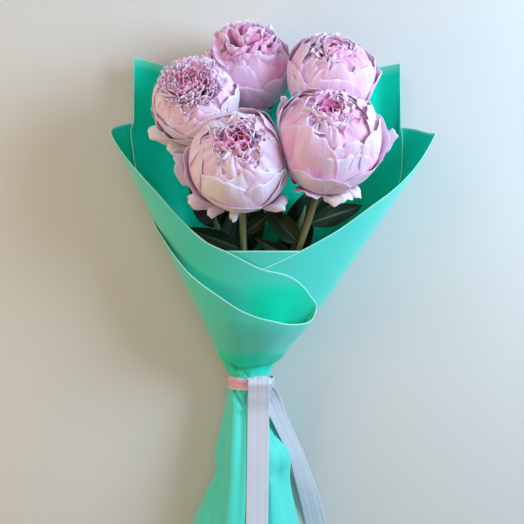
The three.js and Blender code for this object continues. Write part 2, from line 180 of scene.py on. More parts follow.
# Lengthwise veins: noise stretched along a petal or leaf, so that it reads as fine lines.
def makeVeinGroup():
    inputs = {"Vector": None, "Across": 40.0, "Along": 1.5}
    bench, given, out, tree = newGroup("veinLines", inputs, ["Lines"])
    parts = bench.add("ShaderNodeSeparateXYZ", {0: given["Vector"]}).outputs
    x = bench.math("MULTIPLY", parts[0], given["Across"])
    y = bench.math("MULTIPLY", parts[1], given["Along"])
    place = bench.add("ShaderNodeCombineXYZ", {0: x, 1: y, 2: parts[2]}).outputs[0]
    noise = bench.noise(place, 1.0, 3.0)
    bench.give(bench.math("MULTIPLY_ADD", noise, 2.2, -0.6, clamp=True), out["Lines"])
    return tree


# Soft cloudy change of tone, in the piece's own place.
def makeMottleGroup():
    bench, given, out, tree = newGroup("softMottle", {"Scale": 60.0, "Detail": 2.0}, ["Value"])
    place = bench.add("ShaderNodeTexCoord").outputs["Object"]
    bench.give(bench.noise(place, given["Scale"], given["Detail"]), out["Value"])
    return tree


# Fine threads across and along a ribbon, from its own map.
def makeWeaveGroup():
    inputs = {"Vector": None, "Threads": 90.0}
    bench, given, out, tree = newGroup("satinWeave", inputs, ["Height", "Streaks"])
    parts = bench.add("ShaderNodeSeparateXYZ", {0: given["Vector"]}).outputs
    across = bench.math("SINE", bench.math("MULTIPLY", parts[0], given["Threads"]))
    along = bench.math("SINE", bench.math("MULTIPLY", parts[1], given["Threads"]))
    along = bench.math("MULTIPLY", along, 0.12)
    bench.give(bench.math("MULTIPLY_ADD", across, 0.35, along), out["Height"])
    x = bench.math("MULTIPLY", parts[0], 22.0)
    y = bench.math("MULTIPLY", parts[1], 0.6)
    place = bench.add("ShaderNodeCombineXYZ", {0: x, 1: y}).outputs[0]
    bench.give(bench.noise(place, 1.0, 2.0), out["Streaks"])
    return tree


veinLines = makeVeinGroup()
softMottle = makeMottleGroup()
satinWeave = makeWeaveGroup()


def startMaterial(name, **constants):
    material = bpy.data.materials.new(name)
    material.use_nodes = True
    bench = NodeBench(material.node_tree)
    shader = material.node_tree.nodes["Principled BSDF"]
    for key, value in constants.items():
        shader.inputs[key.replace("_", " ")].default_value = value
    return material, bench, shader


# Wires a colour into the shader, and a height through a bump.
def finishMaterial(bench, shader, colour, height, strength, distance):
    bench.give(colour, shader.inputs["Base Color"])
    bump = bench.add("ShaderNodeBump", {"Height": height, "Strength": strength, "Distance": distance})
    bench.give(bump.outputs[0], shader.inputs["Normal"])


def ramp(bench, factor, stops):
    node = bench.add("ShaderNodeValToRGB", {0: factor})
    elements = node.color_ramp.elements
    for place, colour in stops:
        ends = {0.0: elements[0], 1.0: elements[len(elements) - 1]}
        element = ends[place] if place in ends else elements.new(place)
        element.color = (*colour, 1)
    return node.outputs[0]


petalFinish = dict(
    stops=[(0.0, (0.85, 0.75, 0.90)), (0.22, (0.86, 0.60, 0.79)), (0.45, (0.87, 0.43, 0.65)),
           (0.75, (0.80, 0.20, 0.45)), (1.0, (0.54, 0.05, 0.24))],
    green=(0.62, 0.72, 0.46), across=26.0, along=1.3, veinDepth=0.11,
)


# Petal colour follows the tone attribute, pale at the edge and deep pink in the folds, with veins.
def makePetalMaterial():
    material, bench, shader = startMaterial(
        "petal", Roughness=0.6, Subsurface_Weight=0.3, Subsurface_Scale=0.0025,
        Subsurface_Radius=(1.0, 0.8, 0.9), Sheen_Weight=0.12, Sheen_Roughness=0.5,
        Sheen_Tint=(1.0, 0.92, 0.97, 1), Specular_IOR_Level=0.22)
    uv = bench.add("ShaderNodeUVMap").outputs[0]
    spread = {"Vector": uv, "Across": petalFinish["across"], "Along": petalFinish["along"]}
    lines = bench.group(veinLines, spread)["Lines"]
    cloud = bench.group(softMottle, {"Scale": 38.0})["Value"]
    veined = bench.math("MULTIPLY_ADD", lines, petalFinish["veinDepth"], bench.attribute("tone"))
    cloudy = bench.math("MULTIPLY_ADD", cloud, 0.40, veined)
    level = bench.math("SUBTRACT", cloudy, 0.22, clamp=True)
    colour = ramp(bench, level, petalFinish["stops"])
    colour = bench.mix(bench.attribute("green"), colour, petalFinish["green"])
    finishMaterial(bench, shader, colour, lines, 0.3, 0.0009)
    return material


filmFinish = dict(deep=(0.002, 0.74, 0.49), pale=(0.05, 0.66, 0.56), edge=(0.45, 0.95, 0.80))


# Matte film: deep mint on its shiny inner face, paler and more velvety on its outer one, with soft
# clouding, a very fine grain and a pale cut edge. The paler outer colour is partly the film's own and
# partly a painted sheen of reflected light; the pale cut edge is partly a painted highlight.
def makeFilmMaterial():
    material, bench, shader = startMaterial("film", Roughness=0.5, Sheen_Roughness=0.6)
    cloud = bench.group(softMottle, {"Scale": 9.0})["Value"]
    worn = bench.math("MULTIPLY_ADD", cloud, 0.5, 0.75)
    face = bench.math("MULTIPLY", bench.attribute("outer"), worn, clamp=True)
    colour = bench.mix(face, filmFinish["deep"], filmFinish["pale"])
    bench.give(bench.math("MULTIPLY", face, 0.32), shader.inputs["Sheen Weight"])
    bench.give(bench.math("MULTIPLY_ADD", face, 0.4, 0.06), shader.inputs["Specular IOR Level"])
    # Pale cut edge: partly the edge's own colour, partly a painted highlight of light catching it.
    colour = bench.mix(bench.attribute("edge"), colour, filmFinish["edge"])
    grain = bench.group(softMottle, {"Scale": 2600.0, "Detail": 1.0})["Value"]
    bench.give(bench.math("MULTIPLY_ADD", grain, 0.12, 0.44), shader.inputs["Roughness"])
    finishMaterial(bench, shader, colour, grain, 0.12, 0.0003)
    return material


# One pale pink satin ribbon in three colour pairs, with painted light: the band's deeper rose is its pink
# under painted warm light, and the lilac-blue of the front tail and knot ("satin") and of the side tail is
# painted cool sky reflection on the pale pink.
ribbonFinish = dict(
    edge=(0.74, 0.76, 0.84),
    satins={"satin": ((0.53, 0.62, 0.72), (0.68, 0.58, 0.70)),
            "satinPaintedSkyBlue": ((0.52, 0.57, 0.63), (0.60, 0.58, 0.66)),
            "satinRose": ((0.72, 0.36, 0.50), (0.82, 0.52, 0.66))},
)


# Satin: lengthwise streaks of painted sheen in its colour over a fine weave, with a firmer pale edge.
def makeRibbonMaterial(name):
    material, bench, shader = startMaterial(
        name, Roughness=0.36, Sheen_Weight=0.35, Sheen_Roughness=0.35, Specular_IOR_Level=0.6,
        Anisotropic=0.5)
    uv = bench.add("ShaderNodeUVMap").outputs[0]
    weave = bench.group(satinWeave, {"Vector": uv, "Threads": 420.0})
    sharp = bench.math("MULTIPLY_ADD", weave["Streaks"], 1.5, -0.4, clamp=True)
    colour = bench.mix(sharp, *ribbonFinish["satins"][name])
    colour = bench.mix(bench.attribute("edge"), colour, ribbonFinish["edge"])
    finishMaterial(bench, shader, colour, weave["Height"], 0.15, 0.0003)
    return material


greenFinish = {
    # Painted shade: the leaf green is near black, partly the dark peony leaves and partly the shade deep
    # inside the wrap painted into their colour.
    "leafGreen": dict(dark=(0.002, 0.012, 0.005), light=(0.010, 0.036, 0.013),
                      warm=(0.035, 0.022, 0.010), across=26, along=4, roughness=0.42),
    "sepalGreen": dict(dark=(0.10, 0.18, 0.05), light=(0.22, 0.30, 0.10),
                       warm=(0.35, 0.14, 0.10), across=14, along=3, roughness=0.5),
    "stemGreen": dict(dark=(0.12, 0.17, 0.07), light=(0.24, 0.27, 0.13),
                      warm=(0.20, 0.07, 0.05), across=12, along=60, roughness=0.45),
}


# Leaves, sepals and stems share one green, tinted by tone towards red-brown, with veins.
def makeGreenMaterial(name):
    s = greenFinish[name]
    material, bench, shader = startMaterial(
        name, Roughness=s["roughness"], Subsurface_Weight=0.06, Subsurface_Scale=0.002,
        Specular_IOR_Level=0.18)
    uv = bench.add("ShaderNodeUVMap").outputs[0]
    rib = bench.attribute("rib")
    lines = bench.group(veinLines, {"Vector": uv, "Across": s["across"], "Along": s["along"]})["Lines"]
    cloud = bench.group(softMottle, {"Scale": 110.0})["Value"]
    colour = bench.mix(bench.math("MULTIPLY", lines, 0.55), s["dark"], s["light"])
    colour = bench.mix(bench.math("MULTIPLY", cloud, 0.35), colour, s["light"])
    colour = bench.mix(bench.attribute("tone"), colour, s["warm"])
    colour = bench.mix(rib, colour, tuple(min(1.0, 1.6 * c + 0.06) for c in s["light"]))
    finishMaterial(bench, shader, colour, bench.math("ADD", lines, rib), 0.3, 0.0006)
    return material


# Meshes from grids

# A batch of thin closed shells. mid is (count, columns, rows, 3) of middle points in millimetres:
# each side is the middle moved half a thickness along the grid's normal, and a band of faces joins
# the two sides round the rim. Extra values are stored per vertex under their own names, the same on
# both sides unless given as a pair.
def shellObject(name, mid, thickness, values=None):
    mid = np.asarray(mid, float)
    if mid.ndim == 3:
        mid = mid[None]
    count, nu, nv, _ = mid.shape
    normal = unit(np.cross(np.gradient(mid, axis=1), np.gradient(mid, axis=2)))
    half = np.broadcast_to(np.asarray(thickness, float), (count, nu, nv))[..., None] / 2
    points = stack([mid + normal * half, mid - normal * half], axis=1).reshape(-1, 3)
    cell = np.arange(nu * nv).reshape(nu, nv)
    far = nu * nv
    front = stack([cell[:-1, :-1], cell[1:, :-1], cell[1:, 1:], cell[:-1, 1:]], -1).reshape(-1, 4)
    back = front[:, ::-1] + far
    rim = np.concatenate([cell[:-1, 0], cell[-1, :-1], cell[1:, -1][::-1], cell[0, 1:][::-1]])
    ahead = np.roll(rim, -1)
    band = stack([ahead, rim, rim + far, ahead + far], -1)
    one = np.concatenate([front, back, band])
    faces = (one[None] + (np.arange(count) * 2 * far)[:, None, None]).reshape(-1, 4)
    u = linspace(0, 1, nu)[:, None] * np.ones((1, nv))
    v = np.ones((nu, 1)) * linspace(0, 1, nv)[None]
    shift = (np.arange(count) * 3.7)[:, None]
    mapU = (np.tile(u.ravel(), 2)[None] + shift).ravel()
    mapV = np.tile(v.ravel(), 2 * count)
    stored = {}
    for key, value in (values or {}).items():
        pair = value if isinstance(value, tuple) else (value, value)
        sides = [np.broadcast_to(np.asarray(side, float), (count, nu, nv)) for side in pair]
        stored[key] = stack(sides, axis=1).ravel()
    return meshObject(name, points, faces, stack([mapU, mapV], -1), stored)


def meshObject(name, points, faces, uv, stored):
    mesh = bpy.data.meshes.new(name)
    mesh.from_pydata(inFrame(points), [], faces)
    layer = mesh.uv_layers.new(name="map")
    loops = np.empty(len(mesh.loops), np.int32)
    mesh.loops.foreach_get("vertex_index", loops)
    layer.data.foreach_set("uv", uv[loops].astype(np.float32).ravel())
    for key, value in stored.items():
        attribute = mesh.attributes.new(key, "FLOAT", "POINT")
        attribute.data.foreach_set("value", value.astype(np.float32))
    mesh.polygons.foreach_set("use_smooth", np.ones(len(mesh.polygons), bool))
    mesh.update()
    return linked(name, mesh)


# A closed surface from rings of points: each ring closes on itself, and the first and last rings
# are capped by one point each.
def ringObject(name, rings, values=None):
    rings = np.asarray(rings, float)
    n, m, _ = rings.shape
    points = np.concatenate([rings.reshape(-1, 3), rings[:1].mean(1), rings[-1:].mean(1)])
    cell = np.arange(n * m).reshape(n, m)
    nextCell = np.roll(cell, -1, axis=1)
    side = stack([cell[:-1], nextCell[:-1], nextCell[1:], cell[1:]], -1).reshape(-1, 4)
    start = [[int(b), int(a), n * m] for a, b in zip(cell[0], nextCell[0])]
    end = [[int(a), int(b), n * m + 1] for a, b in zip(cell[-1], nextCell[-1])]
    faces = side.tolist() + start + end
    u = np.append(np.tile(np.arange(m) / m, n), [0.5, 0.5])
    v = np.append(np.repeat(linspace(0, 1, n), m), [0.0, 1.0])
    stored = {}
    for key, value in (values or {}).items():
        grid = np.broadcast_to(np.asarray(value, float), (n, m))
        stored[key] = np.append(grid.ravel(), [grid[0].mean(), grid[-1].mean()])
    return meshObject(name, points, faces, stack([u, v], -1), stored)


def dress(obj, material, nodes=()):
    obj.data.materials.clear()
    obj.data.materials.append(material)
    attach(obj, "root")
    if nodes:
        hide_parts(*nodes)
    return obj


# Wrap

wrap = dict(
    tieHalf=26.15, tieHeight=52.3, straight=7.5, ease=10.0,
    spreadLeft=0.494, spreadRight=0.682, rise=0.465, skirtSpread=0.22, skirtRise=0.14,
    pitch=2.2, widest=0.42, flat=0.35, clearance=2.7, reach=22.0,
    skirt=225.0, corner=281.0, pocketDepth=31.0, pocketStart=10.0, pocketFull=75.0,
    thickness=0.8, foldTop=46.0, rimRows=(1.1, 0.35),
)

# Stations round the outer sheet: turn in degrees (0 right, 90 front), rim as a share of the corner
# level, layer, and share of the rolled pocket. A new list starts at each cut corner.
outerRuns = [
    [(118, 0.40, 1, 0), (88, 0.466, 1, 0), (66, 0.527, 1, 0), (46, 0.608, 1, 0), (31, 0.70, 1, 0),
     (16, 0.80, 1, 0), (2, 0.998, 1, 0)],
    [(2, 0.998, 1, 0), (-14, 1.01, 1, 0), (-38, 1.045, 1, 0), (-90, 1.06, 1.5, 0),
     (-142, 1.065, 2, 0), (-166, 1.03, 2, 0), (-180, 1.0, 2, 0)],
    [(-180, 1.0, 2, 0), (-194, 0.897, 2, 0), (-210, 0.772, 2, 0), (-222, 0.662, 2, 0),
     (-234, 0.577, 2, 0), (-252, 0.52, 2, 0), (-272, 0.466, 2, 0), (-288, 0.443, 2, 0.02),
     (-302, 0.413, 2.1, 0.06), (-314, 0.37, 2.3, 0.2), (-321, 0.32, 2.5, 0.5),
     (-318, 0.274, 2.7, 0.8), (-308, 0.253, 2.9, 0.96), (-296, 0.25, 3, 1), (-280, 0.268, 3, 1),
     (-262, 0.303, 3, 0.9), (-242, 0.37, 3, 0.66), (-222, 0.448, 3, 0.4), (-206, 0.527, 3, 0.18),
     (-194, 0.60, 3, 0.06), (-180, 0.648, 3, 0), (-140, 0.78, 3, 0), (-90, 0.86, 3, 0),
     (-44, 0.90, 3, 0)],
]
# The inner sheet: front wall and right side, the high back panel, and the left side, in millimetres.
innerRuns = [
    [(113, 150), (66, 150), (45, 168), (28, 197), (0, 208), (-10, 224), (-21, 250), (-34.6, 292)],
    [(-35, 367.5), (-60, 363.5), (-90, 353.5), (-126, 364.5), (-152, 373.6)],
    [(-152.4, 298), (-163, 261), (-176, 230), (-190, 209), (-215, 188), (-232, 163), (-241, 150)],
]


# Smooth curve through stations without overshoot: slopes are the harmonic mean of the chords on
# either side, zero where they disagree, joined by cubic pieces.
def throughStations(x, y, at):
    x = np.asarray(x, float)
    y = np.asarray(y, float)
    step = np.diff(x)
    chord = np.diff(y) / step
    same = chord[:-1] * chord[1:] > 0
    mean = np.where(same, 2 * chord[:-1] * chord[1:] / np.where(same, chord[:-1] + chord[1:], 1), 0)
    slope = np.concatenate([chord[:1], mean, chord[-1:]])
    i = np.clip(np.searchsorted(x, at, side="right") - 1, 0, len(step) - 1)
    t = (at - x[i]) / step[i]
    return ((1 + 2 * t) * (1 - t) ** 2 * y[i] + t * (1 - t) ** 2 * step[i] * slope[i]
            + t * t * (3 - 2 * t) * y[i + 1] + t * t * (t - 1) * step[i] * slope[i + 1])


def columnsFrom(runs, perUnit, weight):
    columns = []
    for k, run in enumerate(runs):
        run = np.array(run, float)
        gaps = maximum(np.abs(np.diff(run[:, 0])), weight * np.abs(np.diff(run[:, -1]))) + 1.0
        key = np.concatenate([[0], np.cumsum(gaps)])
        at = linspace(0, key[-1], max(3, int(key[-1] * perUnit)))
        part = stack([throughStations(key, run[:, c], at) for c in range(run.shape[1])], -1)
        joined = k > 0 and abs(part[0, 0] - columns[-1][-1, 0]) < 1e-6
        columns.append(part[1:] if joined else part)
    return np.concatenate(columns)


def pastTie(distance):
    past = maximum(distance - wrap["straight"], 0)
    return past * past / (past + wrap["ease"])


# Creases pressed into the front by hand: each runs from one spot to another (X and Y), with a half
# width and a depth, negative where the sheet stands up in a ridge.
creases = [
    (-19, -7, -3, -34, 1.8, 6.0), (-14, -8, 2, -30, 2.6, -1.2), (-9, -34, -13, -150, 5.0, 4.2),
    (-17, -14, -24, -175, 7.5, -5.6), (-29, -40, -31, -75, 4.0, 2.5), (-6, -30, -9, -190, 5.0, -2.2),
    (-18, 19.5, -12, 18, 3.2, 9.0), (-36, 27, -15, 18.5, 1.5, 2.8), (30, -30, 42, -95, 4.5, -3.2),
    (24, -24, 30, -70, 3.0, 2.6), (36, -100, 44, -215, 5.5, 3.0), (25, -110, 28, -215, 4.0, -2.0),
    (-44, -120, -56, -215, 5.0, 3.0), (33, 10, 45, 38, 1.5, 1.3), (28, 9, 36, 34, 1.4, -1.2),
    (-2, 9, -13, 19, 1.3, 1.5), (22, 9, 26, 24, 1.0, 1.0), (-26, 10, -36, 34, 2.4, 1.6),
    (8, 30, 30, 80, 6.0, -1.3), (-18, 32, -44, 90, 6.0, -1.2),
]


# Gathers, as millimetres outward: small pleats round the tie that fade within a few centimetres,
# long faint tension lines up the cone, broad folds that deepen down the skirt, and lumps at its
# sides. Each crease is a smooth bell in the distance from its line, on the front only.
def gathers(turn, level):
    near = bell(np.abs(level), 0, 26, 1.6)
    wander = turn + 0.10 * sin(level / 11) + 0.25 * sin(2 * turn + 0.7)
    pleats = 0.8 * near * (1 - 2 * np.abs(sin(8.5 * wander)) ** 0.8)
    up = bell(level, 52, 38)
    tension = 0.6 * up * sin(10 * turn + 0.8 * sin(level / 30) + 1.0)
    depth = 5.0 * smooth((-level - 8) / 170)
    broad = sin(4 * turn + 1.1 + level / 150) + 0.55 * sin(7 * turn - 0.6 - level / 70)
    right = maximum(cos(turn), 0) ** 2
    left = maximum(-cos(turn), 0) ** 2
    lumps = right * (8.5 * bell(level, -82, 21) - 2.5 * bell(level, -34, 12))
    lumps = lumps + right * 4.5 * bell(level, 34, 7)
    lumps = lumps - left * 2.8 * bell(level, 0, 15)
    lumps = lumps - left * (5.5 * bell(level, -105, 13) - 8 * smooth((-level - 118) / 50))
    total = pleats + tension + depth * 0.62 * broad + lumps
    bulge = 12 * smooth((level - 45) / 50) * (1 - smooth((level - 235) / 85))
    total = total + bulge * maximum(cos(turn), 0) ** 6
    front = smooth(sin(turn) / 0.35)
    x = (29 + 0.22 * pastTie(-level) + 0.55 * pastTie(level)) * cos(turn)
    for x0, y0, x1, y1, wide, deep in creases:
        runX, runY = x1 - x0, y1 - y0
        along = np.clip(((x - x0) * runX + (level - y0) * runY) / (runX ** 2 + runY ** 2), 0, 1)
        away = np.hypot(x - x0 - along * runX, level - y0 - along * runY)
        total = total - front * deep * bell(away, 0, wide) * (1 - 0.75 * along)
    return total


# A point of a sheet: an oval section that is flat underneath, grown with the level, plus gathers.
def wrapPoints(level, turn, layer, stand):
    up = pastTie(level)
    down = pastTie(-level)
    left = wrap["tieHalf"] + wrap["spreadLeft"] * up + wrap["skirtSpread"] * down
    right = wrap["tieHalf"] + wrap["spreadRight"] * up + wrap["skirtSpread"] * down
    height = wrap["tieHeight"] + wrap["rise"] * up + wrap["skirtRise"] * down
    lift = wrap["clearance"] * bell(level, 0, wrap["reach"])
    inset = (3 - layer) * wrap["pitch"] + wrap["thickness"] / 2
    fold = gathers(turn, level)
    aside, rise = cos(turn), sin(turn)
    middle = lift + wrap["widest"] * height
    x = (right - left) / 2 + ((right + left) / 2 - inset + stand + fold) * aside
    top = middle + ((1 - wrap["widest"]) * height - inset + stand + fold) * rise
    depth = wrap["widest"] * height * (1 + wrap["flat"] * smooth(np.abs(level) / 60))
    low = middle + (depth - inset + fold) * rise
    floor = lift + inset
    rest = floor + 1.2 * np.log1p(exp(np.clip((low - floor) / 1.2, -40, 40)))
    rest = np.where(low - floor > 12, low, rest)
    return x, np.where(rise >= 0, top, rest)


# Levels of one column: rows crowd at the tie and its folds, share their levels up to a common one,
# and end in three close rows at the rim.
def levelRows(rim, bottom, below, near, above, shared):
    tieTop, foldTop = wrap["straight"], wrap["foldTop"]
    first, second = wrap["rimRows"]
    rim = rim[:, None]
    a = linspace(0, 1, below, endpoint=False)[None]
    low = np.broadcast_to(bottom * (1 - a) ** 1.15 - tieTop * a, (len(rim), below))
    b = linspace(0, 1, near, endpoint=False)[None]
    folds = np.broadcast_to(-tieTop + (foldTop + tieTop) * b, (len(rim), near))
    common = minimum(rim * 0.95, shared)
    c = linspace(0, 1, above, endpoint=False)[None]
    high = foldTop + (common - foldTop) * c
    d = linspace(0, 1, 9)[None]
    top = common + (rim - first - common) * d
    return np.concatenate([low, folds, high, top, rim - second, rim], axis=1)


# One at a sheet's rim and at its two ends, for the pale cut edge, which is partly a painted highlight where
# light catches the edge.
def edgeMask(shape):
    mask = np.zeros(shape)
    mask[:, -2:] = 1
    mask[:, -3] = 0.35
    mask[[0, -1], :] = 1
    return mask


# Columns follow the stations round the bunch. In the outer layer the sheet stands off by the rolled
# pocket's depth, and by a small tuck that curls over just above the tie.
def makeOuterSheet(material):
    columns = columnsFrom(outerRuns, 0.72, 60)
    turn = radians(columns[:, 0])[:, None]
    rim = columns[:, 1] * wrap["corner"]
    rim = rim + 0.5 * sin(np.arange(len(rim)) * 0.19)
    level = levelRows(rim, -wrap["skirt"], 60, 46, 46, 400)
    layer = columns[:, 2][:, None]
    roll = columns[:, 3][:, None]
    opened = smooth((level - wrap["pocketStart"]) / (wrap["pocketFull"] - wrap["pocketStart"]))
    front = smooth(sin(turn) / 0.5) * np.clip(layer - 2, 0, 1)
    fold = 17.5 + 7 * maximum(cos(turn) + 0.43, 0) + 15 * maximum(-0.43 - cos(turn), 0)
    over = smooth((level - fold) / 1.5 + 0.5) * bell(maximum(level - fold, 0), 0, 21)
    tuck = front * (4.4 * over + 0.9 * bell(level, 13, 5.5))
    x, z = wrapPoints(level, turn, layer, roll * wrap["pocketDepth"] * opened + tuck)
    mid = stack([x, level + 0 * x, z], -1)
    turned = smooth((layer - 2.3) / 0.5) + 0 * x
    # Painted light in the outer mask: in the rolled pocket the outer face takes the deep colour and little
    # sheen, painting the saturated green of light bouncing in its shade; on the fold just above the tie it
    # does the same, painting the bright saturated mint that fold shows under the light.
    paintedPocketShade = bell(columns[:, 0][:, None], -292, 36, 4) * (layer < 2.5)
    paintedPocketShade = paintedPocketShade * (1 - smooth((level - 104) / 22))
    paintedFoldLight = 1 - 0.75 * bell(level, 24, 14, 4)
    outer = ((1 - turned) * (1 - 0.9 * paintedPocketShade) * paintedFoldLight, turned * paintedFoldLight)
    values = {"edge": edgeMask(x.shape), "outer": outer}
    obj = shellObject("outerSheet", mid, wrap["thickness"], values)
    return dress(obj, material, ["outer_sheet"])


# The same surface one layer in, with its section held as it is from just above the corner level up.
def makeInnerSheet(material):
    columns = columnsFrom(innerRuns, 0.75, 0.0)
    turn = radians(columns[:, 0])[:, None]
    level = levelRows(columns[:, 1], -wrap["skirt"] + 8, 40, 24, 40, 284)
    frozen = minimum(level, 1.03 * wrap["corner"])
    x, z = wrapPoints(frozen, turn, 0, 0)
    mid = stack([x, level + 0 * x, z], -1)
    values = {"edge": edgeMask(x.shape), "outer": (1.0, 0.0)}
    obj = shellObject("innerSheet", mid, wrap["thickness"], values)
    return dress(obj, material, ["inner_sheet"])


# Flowers

# Each flower: radius in millimetres, the lean of its face from straight up towards +Y and +X, a small
# shift, the angles from the top at which the cupped petals and the crowd of inner petals stop, the
# seed, how many inner petals, their half width, how fringed, how deep the hollow, how tall they are,
# the blush of the outer petals and of the centre, where inner petals start, how far they lean and turn.
bloomFields = ("radius", "lean", "shift", "opening", "mouth", "seed", "crowd", "tips", "fringe",
               "hollow", "tallest", "blush", "centre", "root", "inward", "twist")
bloomRows = {
    "front_left": (53.0, (25, -2), (1, 3, 0), 33, 44, 11, 60, 8.8, 0.07,
                   0.13, 0.94, -0.03, 0.50, 0.56, 1, 1),
    "front_right": (56.0, (37, 4), (-3, 2, 0), 31, 41, 23, 52, 9.0, 0.07,
                    0.15, 0.93, 0.07, 0.46, 0.56, 1, 1),
    "left": (47.5, (32, -8), (0, 0, 0), 47, 58, 37, 150, 7.0, 0.30,
             0.20, 1.0, -0.05, 0.26, 0.62, 0.35, 0.5),
    "back_centre": (49.5, (46, 3), (0, 0, 0), 42, 55, 41, 32, 15.0, 0.14,
                    0.05, 1.10, 0.10, 0.28, 0.55, 1, 1),
    "back_right": (47.5, (46, 4), (-3, -3, 0), 29, 37, 59, 44, 9.0, 0.08,
                   0.08, 0.97, 0.09, 0.34, 0.6, 1, 1),
}
blooms = {name: dict(zip(bloomFields, row)) for name, row in bloomRows.items()}


# A flower's middle and three axes: right, up the flower's face, and out along its stem's direction.
def bloomFrame(name):
    low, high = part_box("petal_ball_" + name)
    centre = fromFrame((low + high) / 2) + blooms[name]["shift"]
    tilt, side = (math.radians(a) for a in blooms[name]["lean"])
    axis = unit([math.sin(side), math.sin(tilt), math.cos(tilt)])
    right = unit(np.array([1, 0, 0]) - axis[0] * axis)
    return centre, stack([right, np.cross(axis, right), axis])


bloomFrames = {name: bloomFrame(name) for name in blooms}


# How far, in millimetres, the back petals of one flower give way to the flower behind it.
yielding = {("front_right", "back_right"): 11.0, ("front_right", "back_centre"): 8.0,
            ("front_left", "left"): 4.0, ("front_left", "back_centre"): 7.0}


# Where two flowers touch, petals press flat: what passes the plane between them is pushed back to a
# seventh of its depth, with a soft knee.
def pressed(name, points):
    centre = bloomFrames[name][0]
    for other in blooms:
        if other == name:
            continue
        there = bloomFrames[other][0]
        share = blooms[name]["radius"] / (blooms[name]["radius"] + blooms[other]["radius"])
        normal = unit(there - centre)
        give = yielding.get((name, other), 0) - yielding.get((other, name), 0)
        past = (points - centre - (there - centre) * share) @ normal + 1.5 + give
        knee = 2.0 * np.log1p(exp(np.clip(past / 2.0, -30, 30)))
        points = points - (0.86 * knee)[..., None] * normal
    floor = 3.2 * wrap["pitch"] + 1.5
    z = points[..., 2]
    points[..., 2] = np.where(z < floor + 8, floor + 8 * exp(minimum(z - floor - 8, 0) / 8), z)
    return points


# A cupped petal is a patch of a globe. Across it the turn goes from one side to the other, wider
# above the claw; up it the angle from the stem grows from low to high, less at the corners and
# notches. The last third bends in an arc, outward where curl is positive. One side rides higher
# than the other, so that petals overlap like tiles, and the edges are ruffled.
def cupPetals(p, columns, rows):
    u = linspace(-1, 1, columns)[None, :, None]
    v = (linspace(0, 1, rows) ** 0.85)[None, None, :]
    get = {key: np.asarray(value, float).reshape(-1, 1, 1) for key, value in p.items()}
    phase = get["phase"]
    cut = get["notch"] * maximum(0, sin(4.3 * u + phase)) ** 3
    cut = cut + 0.6 * get["notch"] * maximum(0, sin(9.7 * u + 2.3 * phase)) ** 2
    outline = 1 - get["round"] * np.abs(u) ** 2.6 - cut * smooth(v * 1.3)
    reach = radians(get["high"] - get["low"]) * outline
    bendFrom = 0.66
    curl = np.where(np.abs(get["curl"]) < 0.02, 0.02, get["curl"]) * (1 + 0.25 * sin(2.1 * u + phase))
    s = np.clip((v - bendFrom) / (1 - bendFrom), 0, 1)
    tipLength = (1 - bendFrom) * reach
    forward = tipLength * sin(curl * s) / curl
    outward = tipLength * (1 - cos(curl * s)) / curl
    polar = radians(get["low"]) + reach * minimum(v, bendFrom) + forward
    narrow = 0.40 + 0.60 * sin(np.pi / 2 * minimum(v / 0.6, 1)) ** 0.9
    narrow = narrow - 0.10 * smooth((v - 0.8) / 0.2)
    twist = radians(5) * sin(phase) * v
    turn = radians(get["turn"]) + u * radians(get["spread"]) * narrow + twist
    ruffle = get["ruffle"] * (smooth((v - 0.55) / 0.45) * sin(5.2 * u + phase + 1.5 * v)
                              + 0.5 * smooth((v - 0.8) / 0.2) * sin(12.3 * u + 3 * phase))
    sides = get["ruffle"] * 0.7 * np.abs(u) ** 4 * sin(8 * v + 2 * phase)
    crease = 0.9 * sin(2.4 * u + phase) * sin(np.pi * v)
    crease = crease + 1.7 * sin(6.0 * u + 2 * phase + v) * v * (1 - v)
    crease = crease + 0.26 * sin(13 * u + 3 * phase + 2 * v) * v
    rho = get["radius"] * (1 + 0.035 * sin(np.pi * v) + outward) + get["tile"] * u
    rho = rho + ruffle + sides + crease + get["open"] * v ** 2
    mid = stack([rho * sin(polar) * cos(turn), rho * sin(polar) * sin(turn),
                    -rho * cos(polar)], -1)
    return mid, u, v


# An inner petal stands on a spot of the globe given by its angle from the top and its turn. It runs
# out along that direction, is bowed across, leans towards the axis and is ruffled at its tip.
def crowdPetals(p, columns, rows):
    u = linspace(-1, 1, columns)[None, :, None, None]
    v = linspace(0, 1, rows)[None, None, :, None]
    get = {key: np.asarray(value, float).reshape(-1, 1, 1, 1) for key, value in p.items()}
    a, b, w = get["angle"][..., 0], get["turn"][..., 0], get["twist"]
    out = stack([sin(a) * cos(b), sin(a) * sin(b), cos(a)], -1)
    across = stack([-sin(b), cos(b), 0 * b], -1)
    inward = -stack([cos(a) * cos(b), cos(a) * sin(b), -sin(a)], -1)
    side = across * cos(w) + inward * sin(w)
    face = inward * cos(w) - across * sin(w)
    phase = get["phase"]
    cut = get["fringe"] * (maximum(0, sin(5 * u + phase)) ** 2
                           + 0.7 * maximum(0, sin(11 * u + 2 * phase)) ** 2)
    along = get["base"] + (get["top"] - get["base"]) * v * (1 - 0.22 * u ** 2 - cut * v)
    along = along - 0.035 * get["lean"] ** 2 * v ** 4
    wide = get["width"] * u * (0.45 + 0.55 * sin(np.pi / 2 * minimum(v / 0.7, 1)) - 0.12 * v ** 4)
    bow = get["bow"] * u ** 2 + get["lean"] * v ** 3
    wave = get["ruffle"] * v ** 2 * sin(get["waves"] * u + phase + 2 * v)
    return out * along + side * wide + face * (bow + wave), u[..., 0], v[..., 0]


